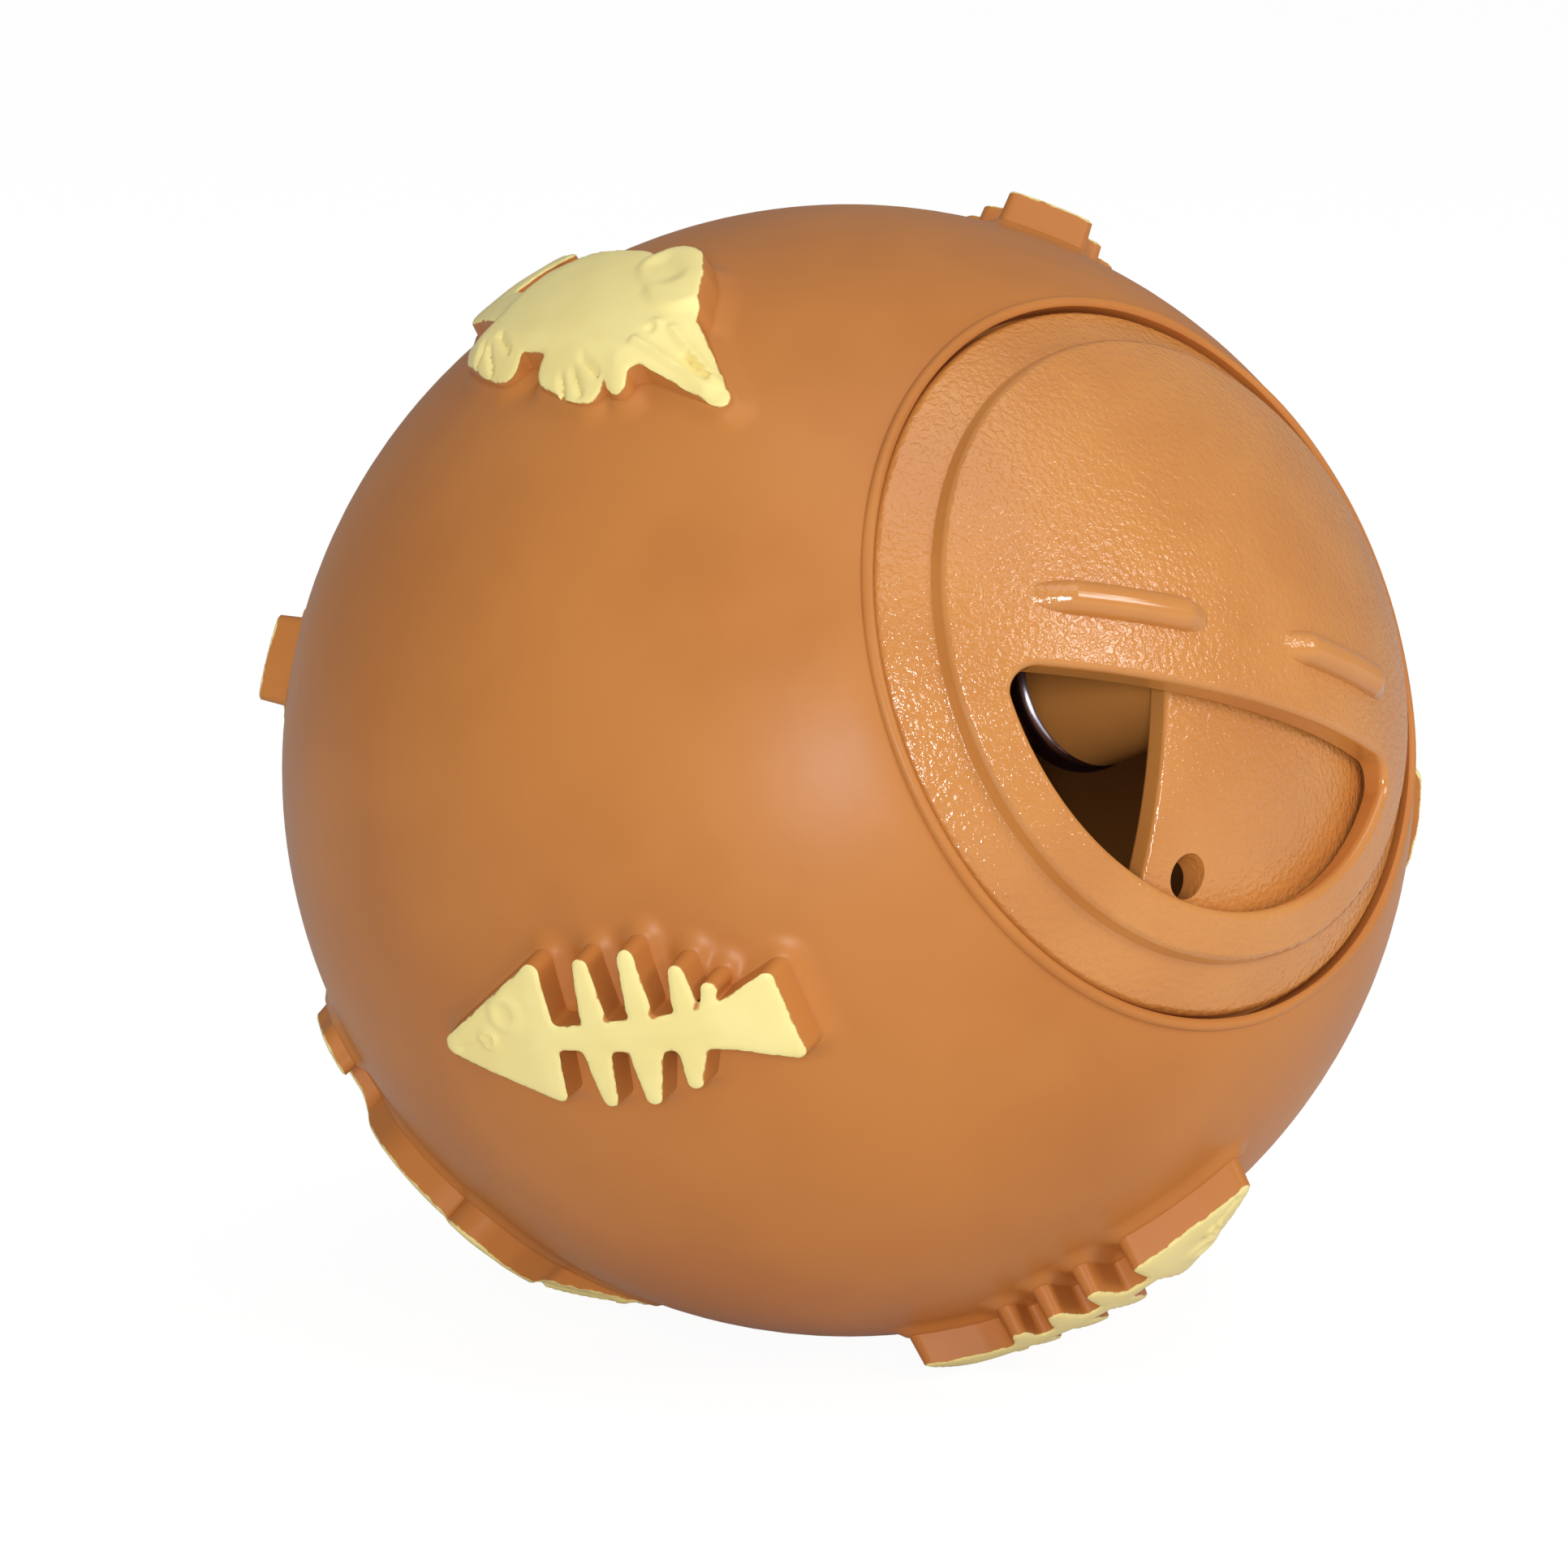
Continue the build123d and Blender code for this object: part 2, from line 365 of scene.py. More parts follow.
@dataclass(frozen=True)
class PaintedVinylFinish:
    """Vinyl with cream paint on the tops of the figures, a little uneven along its edge."""

    vinyl: VinylFinish = VinylFinish()
    paint: Colour = (252, 236, 160)
    paint_thin: Colour = (247, 229, 151)
    thin_size: float = 4.8 * MM
    thin_span: Span = (0.35, 0.65)
    edge_wander: float = 0.4 * MM
    edge_size: float = 0.8 * MM
    edge_soft: float = 0.05 * MM
    film_height: float = 0.05 * MM
    ripple_size: float = 1.6 * MM
    ripple_share: float = 0.3
    roughness: float = 0.34

    def material(self) -> bpy.types.Material:
        """Make the vinyl with its paint.

        Returns:
            The material.
        """
        graph = ShaderGraph("painted_vinyl")
        wander = self.edge_wander * (graph.grain(self.edge_size) - GRAIN_MEAN)
        reach = graph.attribute(PAINT_ATTRIBUTE) + wander
        cover = graph.ramp(reach, -self.edge_soft, self.edge_soft)
        thin = graph.ramp(graph.grain(self.thin_size), *self.thin_span)
        paint = graph.blend(thin, linear(*self.paint_thin), linear(*self.paint))
        ripple = self.ripple_share * graph.grain(self.ripple_size, detail=1)
        return graph.close(
            Base_Color=graph.blend(cover, self.vinyl.skin_colour(graph), paint),
            Roughness=self.vinyl.skin_roughness(graph) * (1 - cover) + self.roughness * cover,
            Specular_IOR_Level=self.vinyl.gleam,
            Normal=graph.bump(cover + ripple, self.film_height),
        )


@dataclass(frozen=True)
class MouldedPlasticFinish:
    """Rigid plastic with the fine pebbled texture of a spark-eroded mould."""

    name: str
    colour: Colour = (210, 141, 72)
    shade: Colour = (201, 131, 65)
    mottle_size: float = 9 * MM
    mottle_span: Span = (0.3, 0.7)
    pebble_size: float = 0.38 * MM
    pebble_span: Span = (0.3, 0.7)
    pebble_height: float = 0.04 * MM
    sheen_size: float = 3 * MM
    sheen_swing: float = 0.12
    roughness: float = 0.15
    gleam: float = 0.68

    def material(self) -> bpy.types.Material:
        """Make the textured plastic.

        Returns:
            The material.
        """
        graph = ShaderGraph(self.name)
        mottle = graph.ramp(graph.grain(self.mottle_size, detail=3), *self.mottle_span)
        pebbles = graph.ramp(graph.grain(self.pebble_size), *self.pebble_span)
        sheen = self.sheen_swing * graph.grain(self.sheen_size, detail=3)
        return graph.close(
            Base_Color=graph.blend(mottle, linear(*self.shade), linear(*self.colour)),
            Roughness=self.roughness - self.sheen_swing * GRAIN_MEAN + sheen,
            Specular_IOR_Level=self.gleam,
            Normal=graph.bump(pebbles * graph.attribute(PEBBLE_ATTRIBUTE), self.pebble_height),
        )


@dataclass(frozen=True)
class PlatedSteelFinish:
    """Glossy plated steel with slight wear."""

    colour: Colour = (214, 207, 222)
    wear_size: float = 1.5 * MM
    wear_roughness: float = 0.08
    roughness: float = 0.2

    def material(self) -> bpy.types.Material:
        """Make the steel.

        Returns:
            The material.
        """
        graph = ShaderGraph("plated_steel")
        wear = self.wear_roughness * graph.grain(self.wear_size, detail=4)
        return graph.close(Base_Color=linear(*self.colour), Metallic=1.0, Roughness=self.roughness + wear)


@dataclass(frozen=True)
class CapFrame:
    """Place of the ball's centre and of the cap's axis in the shared frame."""

    centre: Vector
    axis: Vector

    @classmethod
    def from_record(cls, record: dict[str, Any]) -> CapFrame:
        """Read the shutter's hinge, which lies on the cap's axis at the ball's centre.

        Args:
            record: Packed record.

        Returns:
            The frame of the cap.
        """
        hinge = next(joint for joint in record["behaviour"]["joints"] if joint["type"] == "hinge")
        return cls(Vector(hinge["pos_m"]), Vector(hinge["axis"]).normalized())

    def matrix(self) -> Matrix:
        """Give the matrix from cap coordinates, with the axis on Z, to the shared frame.

        Returns:
            The matrix.
        """
        right = Vector((1, 0, 0))
        columns = Matrix((right, self.axis.cross(right), self.axis)).transposed()
        return Matrix.Translation(self.centre) @ columns.to_4x4()


def object_from(name: str, bm: BMesh, material: bpy.types.Material) -> bpy.types.Object:
    """Turn a bmesh into an object of the scene.

    Args:
        name: Name of the object and of its mesh.
        bm: Mesh in the shared frame. It is freed.
        material: Its finish.

    Returns:
        The new object.
    """
    mesh = bpy.data.meshes.new(name)
    bm.to_mesh(mesh)
    bm.free()
    mesh.materials.append(material)
    made = bpy.data.objects.new(name, mesh)
    bpy.context.scene.collection.objects.link(made)
    return made


def piece_from(name: str, bm: BMesh, material: bpy.types.Material) -> bpy.types.Object:
    """Turn a finished bmesh into a vinyl piece that rides on the ball.

    Args:
        name: Name of the piece.
        bm: Mesh in the shared frame. It is freed.
        material: Its finish.

    Returns:
        The new object.
    """
    for face in bm.faces:
        face.smooth = True
    for edge in bm.edges:
        edge.smooth = edge.calc_face_angle(0.0) < SHARP_TURN
    piece = object_from(name, bm, material)
    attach(piece, BALL_BODY)
    LOG.info("%s: %d points, %d faces", name, len(piece.data.vertices), len(piece.data.polygons))
    return piece


@dataclass(frozen=True)
class Limb:
    """Hull round a few circles of a figure, each (x, y, radius) in shares of the figure's length."""

    circles: tuple[Circle, ...]
    directions: int = 360

    def distance(self, points: np.ndarray, length: float) -> np.ndarray:
        """Give the signed distance to the hull, less than zero inside.

        Args:
            points: Points of the figure's plane, in metres, one to a row.
            length: Length of the figure.

        Returns:
            One distance to a point.
        """
        turns = np.linspace(0, math.tau, self.directions, endpoint=False)
        normals = np.stack([np.cos(turns), np.sin(turns)])
        table = np.array(self.circles) * length
        reach = (table[:, :2] @ normals + table[:, 2:]).max(axis=0)
        return (points @ normals - reach).max(axis=1)


@dataclass(frozen=True)
class Stroke:
    """Line between two spots of a figure, in shares of its length. Equal ends make it one spot."""

    start: Spot
    end: Spot

    def distance(self, points: np.ndarray, length: float) -> np.ndarray:
        """Give each point's distance from the line.

        Args:
            points: Points of the figure's plane.
            length: Length of the figure.

        Returns:
            One distance to a point.
        """
        first = np.array(self.start) * length
        run = np.array(self.end) * length - first
        along = np.clip(((points - first) @ run) / max(run @ run, TINY), 0.0, 1.0)
        return np.linalg.norm(points - first - along[:, None] * run, axis=1)


@dataclass(frozen=True)
class Carve:
    """Soft bead, or groove with a height under zero, that follows a stroke or rings it at some distance."""

    line: Stroke
    height: float
    width: float
    ring: float = 0.0

    def relief(self, points: np.ndarray, length: float) -> np.ndarray:
        """Give the height that the bead adds at each point."""
        return self.height * bell(self.line.distance(points, length) - self.ring, self.width)


@dataclass(frozen=True)
class Fall:
    """Slope of a figure's top: its direction, its span in shares of the length, its depth of the height."""

    direction: Spot
    span: Span
    depth: float

    def share(self, points: np.ndarray, length: float) -> np.ndarray:
        """Give how far the top has fallen at each point, as a share of the figure's height."""
        return self.depth * smooth_step(points @ np.array(self.direction) / length, *self.span)


@dataclass(frozen=True)
class FigurePlace:
    """Where a figure sits, in degrees: from the cap's axis, round it, and the figure's own turn."""

    from_axis: float
    round_axis: float
    own_turn: float

    def matrix(self) -> Matrix:
        """Give the turn from the ball's top point to this place, in cap coordinates.

        Returns:
            The matrix.
        """
        swing = Matrix.Rotation(math.radians(self.round_axis), 4, "Z")
        tilt = Matrix.Rotation(math.radians(self.from_axis), 4, "Y")
        return swing @ tilt @ Matrix.Rotation(math.radians(self.own_turn), 4, "Z")


@dataclass
class Figure:
    """Raised figure: a domed, round-edged top on steep walls that stand in the ball's wall."""

    ball_radius: float
    stem: str = "figure"
    height: float = 2.5 * MM
    length: float = 23.2 * MM
    near_share: float = 0.7
    blend: float = 0.5 * MM
    cell: float = 0.2 * MM
    slope_steps: int = 10
    outline_passes: int = 3
    border_rounds: int = 6
    border_ease: float = 0.5
    draft: float = 0.16 * MM
    edge_round: float = 0.12 * MM
    edge_loop_shares: tuple[float, ...] = (0.6, 0.4)
    root_depth: float = 1.0 * MM
    top_share: float = 1.0
    dome_drop: float = 0.05 * MM
    dome_reach: float = 1.4 * MM
    limbs: tuple[Limb, ...] = ()
    places: tuple[FigurePlace, ...] = ()

    def falls(self) -> tuple[Fall, ...]:
        """List the slopes of the figure's top."""
        return ()

    def carves(self) -> tuple[Carve, ...]:
        """List the beads and grooves of the figure's top."""
        return ()

    def distance(self, points: np.ndarray) -> np.ndarray:
        """Give the signed distance to the figure's outline, with rounded inside corners.

        Args:
            points: Points of the figure's plane, one to a row.

        Returns:
            One distance to a point, less than zero inside.
        """
        joined = self.limbs[0].distance(points, self.length)
        for limb in self.limbs[1:]:
            joined = soft_min(joined, limb.distance(points, self.length), self.blend)
        return joined

    def slope(self, points: np.ndarray) -> np.ndarray:
        """Give the direction in which the distance to the outline grows.

        Args:
            points: Points of the figure's plane.

        Returns:
            One unit vector to a point.
        """
        step = self.cell / self.slope_steps
        sides = []
        for shift in (np.array([step, 0]), np.array([0, step])):
            sides.append(self.distance(points + shift) - self.distance(points - shift))
        grown = np.stack(sides, axis=1)
        return grown / np.maximum(np.linalg.norm(grown, axis=1, keepdims=True), TINY)

    def to_outline(self, points: np.ndarray) -> np.ndarray:
        """Move points along the slope onto the outline.

        Args:
            points: Points of the figure's plane.

        Returns:
            The moved points.
        """
        for _ in range(self.outline_passes):
            points = points - self.distance(points)[:, None] * self.slope(points)
        return points

    def level(self, points: np.ndarray) -> np.ndarray:
        """Give the height of the bare top at each point, as a share of the figure's height."""
        return self.top_share - sum(fall.share(points, self.length) for fall in self.falls())

    def carving(self, points: np.ndarray) -> np.ndarray:
        """Give the height that the figure's carved detail adds at each point."""
        return sum(carve.relief(points, self.length) for carve in self.carves())

    def rounded_top(self, points: np.ndarray) -> tuple[np.ndarray, np.ndarray]:
        """Give the domed and carved top with its rounded edge.

        Args:
            points: Points of the figure's plane.

        Returns:
            The height of each point over the ball, and how far it lies inside the outline.
        """
        inset = np.maximum(-self.distance(points), 0.0)
        dome = self.dome_drop * (1 - smooth_step(inset, 0.0, self.dome_reach))
        top = np.minimum(self.level(points) * self.height - dome + self.carving(points), self.height)
        short = np.clip(self.edge_round - inset, 0.0, self.edge_round)
        drop = self.edge_round - np.sqrt(self.edge_round**2 - short**2)
        return top - drop, inset

    def plan(self) -> BMesh:
        """Make the figure's flat plan: a grid trimmed to the outline, with loops along its edge.

        Returns:
            An open mesh in the figure's plane.
        """
        circles = np.array([circle for limb in self.limbs for circle in limb.circles]) * self.length
        margin = 2 * self.blend
        low = (circles[:, :2] - circles[:, 2:]).min(axis=0) - margin
        high = (circles[:, :2] + circles[:, 2:]).max(axis=0) + margin
        counts = np.ceil((high - low) / self.cell).astype(int)
        bm = bmesh.new()
        bmesh.ops.create_grid(bm, x_segments=int(counts[0]), y_segments=int(counts[1]), size=0.5)
        middle, size = (low + high) / 2, counts * self.cell
        spread = Matrix.Translation((*middle, 0)) @ Matrix.Diagonal((*size, 1, 1))
        bmesh.ops.transform(bm, matrix=spread, verts=bm.verts)
        inside = self.distance(np.array([face.calc_center_median()[:2] for face in bm.faces]))
        outer = [face for face, distance in zip(bm.faces, inside) if distance > 0]
        bmesh.ops.delete(bm, geom=outer, context="FACES")
        self.settle_border(bm)
        for share in self.edge_loop_shares:
            depth = self.edge_round * share
            bmesh.ops.inset_region(bm, faces=bm.faces[:], thickness=depth, use_even_offset=True)
        return bm

    def settle_border(self, bm: BMesh) -> None:
        """Slide the plan's border onto the outline and even out the cells behind it.

        Args:
            bm: Flat plan.
        """
        border = [vert for vert in bm.verts if vert.is_boundary]
        inner = [vert for vert in bm.verts if not vert.is_boundary]
        for _ in range(self.border_rounds):
            eased = []
            for vert in border:
                beside = [edge.other_vert(vert) for edge in vert.link_edges if edge.is_boundary]
                mean = sum((other.co for other in beside), Vector()) / len(beside)
                eased.append((vert.co + mean)[:2])
            for vert, spot in zip(border, self.to_outline(np.array(eased) / 2)):
                vert.co = (*spot, 0)
            bmesh.ops.smooth_vert(bm, verts=inner, factor=self.border_ease, use_axis_x=True, use_axis_y=True)

    def lift(self, verts: Sequence[BMVert], flat: np.ndarray, heights: np.ndarray) -> None:
        """Raise points of the plane to their heights over the ball.

        Args:
            verts: Points to place.
            flat: Their places in the figure's plane.
            heights: Their heights over the ball.
        """
        reach = np.sqrt((self.ball_radius + heights) ** 2 - (flat**2).sum(axis=1))
        for vert, (x, y), z in zip(verts, flat, reach):
            vert.co = (x, y, z)

    def add_wall(self, bm: BMesh, paint: Any) -> None:
        """Draw the border down to the root, with one loop close under the edge to keep the wall straight.

        Args:
            bm: Mesh with the figure's top.
            paint: Layer that holds the paint's reach.
        """
        for depth in (self.edge_round / 2, self.height + self.root_depth):
            made = bmesh.ops.extrude_edge_only(bm, edges=[edge for edge in bm.edges if edge.is_boundary])
            loop = [item for item in made["geom"] if isinstance(item, BMVert)]
            start = np.array([vert.co for vert in loop])
            rise = np.linalg.norm(start, axis=1) - self.ball_radius
            drop = np.minimum(depth, rise + self.root_depth)
            flat = start[:, :2] + (self.draft * drop / self.height)[:, None] * self.slope(start[:, :2])
            self.lift(loop, flat, rise - drop)
            for vert in loop:
                vert[paint] = -depth

    def mesh(self) -> BMesh:
        """Make the figure on the ball's top point, with its paint reach stored on its points.

        Returns:
            A closed mesh in cap coordinates.
        """
        bm = self.plan()
        paint = bm.verts.layers.float.new(PAINT_ATTRIBUTE)
        top = bm.verts[:]
        flat = np.array([vert.co[:2] for vert in top])
        heights, insets = self.rounded_top(flat)
        self.lift(top, flat, heights)
        for vert, inset in zip(top, insets):
            vert[paint] = inset
        self.add_wall(bm, paint)
        bmesh.ops.holes_fill(bm, edges=[edge for edge in bm.edges if edge.is_boundary], sides=0)
        bmesh.ops.recalc_face_normals(bm, faces=bm.faces)
        return bm

    def add_pieces(self, matrix: Matrix, material: bpy.types.Material) -> None:
        """Make one piece at each of the figure's places.

        Args:
            matrix: From cap coordinates to the shared frame.
            material: Painted finish.
        """
        pattern = self.mesh()
        for number, place in enumerate(self.places, 1):
            bm = pattern.copy()
            bmesh.ops.transform(bm, matrix=matrix @ place.matrix(), verts=bm.verts)
            piece_from(f"{self.stem}_{number}", bm, material)
        pattern.free()


@dataclass
class FishFigure(Figure):
    """Fish skeleton, x from nose to tail, with a head that falls a little to the nose."""

    stem: str = "fish_figure"
    limbs: tuple[Limb, ...] = (
        Limb(
            ((-0.472, -0.086, 0.03), (-0.187, 0.143, 0.025), (-0.172, -0.188, 0.022), (-0.16, -0.02, 0.018))
        ),
        Limb(((-0.140, -0.028, 0.032), (0.300, -0.002, 0.055))),
        Limb(((0.300, -0.002, 0.053), (0.432, 0.108, 0.022), (0.478, -0.084, 0.021))),
        Limb(((-0.028, 0.040, 0.036), (-0.040, 0.166, 0.022))),
        Limb(((0.100, 0.060, 0.034), (0.087, 0.189, 0.023))),
        Limb(((0.222, 0.070, 0.032), (0.214, 0.147, 0.021))),
        Limb(((0.280, 0.055, 0.014), (0.291, 0.099, 0.021))),
        Limb(((-0.034, -0.075, 0.038), (-0.028, -0.198, 0.021))),
        Limb(((0.098, -0.070, 0.044), (0.092, -0.189, 0.022))),
        Limb(((0.222, -0.065, 0.036), (0.211, -0.147, 0.021))),
    )
    places: tuple[FigurePlace, ...] = (
        FigurePlace(75.2, 203.5, 157.4),
        FigurePlace(75.9, 272.8, -29.2),
        FigurePlace(78.8, 56.2, 145.0),
        FigurePlace(147.0, 129.0, 138.0),
        FigurePlace(126.0, 300.0, 120.0),
        FigurePlace(124.0, 76.0, 200.0),
    )
    nose_fall: Fall = Fall((-1, 0), (0.16, 0.32), 0.08)
    eye: Stroke = Stroke((-0.354, -0.051), (-0.354, -0.051))
    eye_ring: Carve = Carve(eye, 0.2 * MM, 0.17 * MM, ring=0.5 * MM)
    pupil: Carve = Carve(eye, 0.1 * MM, 0.2 * MM)
    mouth: Carve = Carve(Stroke((-0.376, -0.066), (-0.455, -0.092)), -0.16 * MM, 0.2 * MM)
    cheek: Carve = Carve(Stroke((-0.285, 0.028), (-0.285, 0.028)), 0.18 * MM, 0.35 * MM, ring=0.9 * MM)

    def falls(self) -> tuple[Fall, ...]:
        """List the slopes of the figure's top."""
        return (self.nose_fall,)

    def carves(self) -> tuple[Carve, ...]:
        """List the beads and grooves of the head."""
        return (self.eye_ring, self.pupil, self.mouth, self.cheek)


@dataclass
class MouseFigure(Figure):
    """Mouse seen from its side, x from rump to snout, with its head, tail and paws lower than its back."""

    stem: str = "mouse_figure"
    length: float = 26.6 * MM
    blend: float = 0.35 * MM
    top_share: float = 0.885
    dome_drop: float = 0.08 * MM
    dome_reach: float = 1.2 * MM
    limbs: tuple[Limb, ...] = (
        Limb(
            (
                (-0.213, 0.004, 0.073),
                (-0.060, 0.036, 0.152),
                (0.033, 0.036, 0.160),
                (0.093, -0.033, 0.131),
                (-0.038, -0.044, 0.120),
            )
        ),
        Limb(((0.165, 0.165, 0.068), (0.215, 0.110, 0.075), (0.270, 0.035, 0.070))),
        Limb(((0.234, -0.022, 0.112), (0.327, -0.076, 0.046), (0.501, -0.113, 0.023))),
        Limb(((0.164, -0.055, 0.109), (0.278, -0.109, 0.046))),
        Limb(((-0.210, 0.005, 0.050), (-0.420, 0.049, 0.055))),
        Limb(((-0.420, 0.049, 0.055), (-0.420, 0.142, 0.052))),
        Limb(((-0.420, 0.142, 0.052), (-0.376, 0.218, 0.039))),
        Limb(((-0.376, 0.218, 0.039), (-0.325, 0.231, 0.022))),
        Limb(
            (
                (-0.148, -0.055, 0.072),
                (-0.253, -0.136, 0.038),
                (-0.093, -0.177, 0.049),
                (-0.164, -0.158, 0.052),
            )
        ),
        Limb(((0.152, -0.100, 0.062), (0.152, -0.180, 0.062))),
        Limb(((0.067, -0.192, 0.036), (0.191, -0.196, 0.050), (0.131, -0.188, 0.052))),
        Limb(((0.256, -0.131, 0.033), (0.272, -0.178, 0.029))),
    )
    places: tuple[FigurePlace, ...] = (
        FigurePlace(75.9, 126.2, 166.0),
        FigurePlace(75.5, 345.0, 166.0),
        FigurePlace(132.7, 225.0, 128.0),
        FigurePlace(130.0, 12.0, 40.0),
    )
    lowest_share: float = 0.3
    paw_fall: Fall = Fall((0, -1), (0.12, 0.245), 0.56)
    snout_fall: Fall = Fall((1, 0), (0.25, 0.53), 0.60)
    tail_fall: Fall = Fall((-1, 0), (0.20, 0.30), 0.27)
    ear: Stroke = Stroke((0.165, 0.160), (0.262, 0.088))
    ear_share: float = 0.955
    ear_span: Span = (0.060, 0.084)
    ear_dish: Stroke = Stroke((0.145, 0.152), (0.200, 0.122))
    ear_dish_depth: float = 0.32 * MM
    ear_dish_reach: float = 1.5 * MM
    eye: Carve = Carve(Stroke((0.299, -0.031), (0.299, -0.031)), 0.3 * MM, 0.5 * MM)
    eye_pit: Carve = Carve(Stroke((0.292, -0.046), (0.292, -0.046)), -0.34 * MM, 0.26 * MM)
    mouth: Carve = Carve(Stroke((0.393, -0.069), (0.455, -0.086)), -0.42 * MM, 0.17 * MM)
    upper_cheek: Carve = Carve(Stroke((0.335, -0.025), (0.479, -0.089)), 0.34 * MM, 0.32 * MM)
    lower_cheek: Carve = Carve(Stroke((0.283, -0.093), (0.469, -0.112)), 0.34 * MM, 0.32 * MM)
    toe_depth: float = 0.34 * MM
    toe_width: float = 0.18 * MM
    toe_grooves: tuple[Stroke, ...] = (
        Stroke((-0.192, -0.155), (-0.215, -0.190)),
        Stroke((-0.168, -0.160), (-0.136, -0.205)),
        Stroke((-0.143, -0.132), (-0.090, -0.165)),
        Stroke((0.112, -0.205), (0.141, -0.245)),
        Stroke((0.147, -0.191), (0.186, -0.225)),
        Stroke((0.164, -0.160), (0.218, -0.182)),
    )

    def falls(self) -> tuple[Fall, ...]:
        """List the slopes of the figure's top."""
        return (self.paw_fall, self.snout_fall, self.tail_fall)

    def carves(self) -> tuple[Carve, ...]:
        """List the beads and grooves of the head."""
        return (self.eye, self.eye_pit, self.mouth, self.upper_cheek, self.lower_cheek)

    def level(self, points: np.ndarray) -> np.ndarray:
        """Give the height of the bare top, with the ear standing level over the sloping head.

        Args:
            points: Points of the figure's plane.

        Returns:
            One share of the figure's height to a point.
        """
        share = super().level(points)
        from_ear = self.ear.distance(points, self.length) / self.length
        share += (self.ear_share - share) * (1 - smooth_step(from_ear, *self.ear_span))
        return np.maximum(share, self.lowest_share)

    def carving(self, points: np.ndarray) -> np.ndarray:
        """Give the height that the head's detail, the ear's hollow and the toes add.

        Args:
            points: Points of the figure's plane.

        Returns:
            One height to a point.
        """
        from_dish = self.ear_dish.distance(points, self.length)
        hollow = self.ear_dish_depth * (1 - smooth_step(from_dish, 0.0, self.ear_dish_reach))
        from_toes = np.min([groove.distance(points, self.length) for groove in self.toe_grooves], axis=0)
        return super().carving(points) - hollow - self.toe_depth * bell(from_toes, self.toe_width)


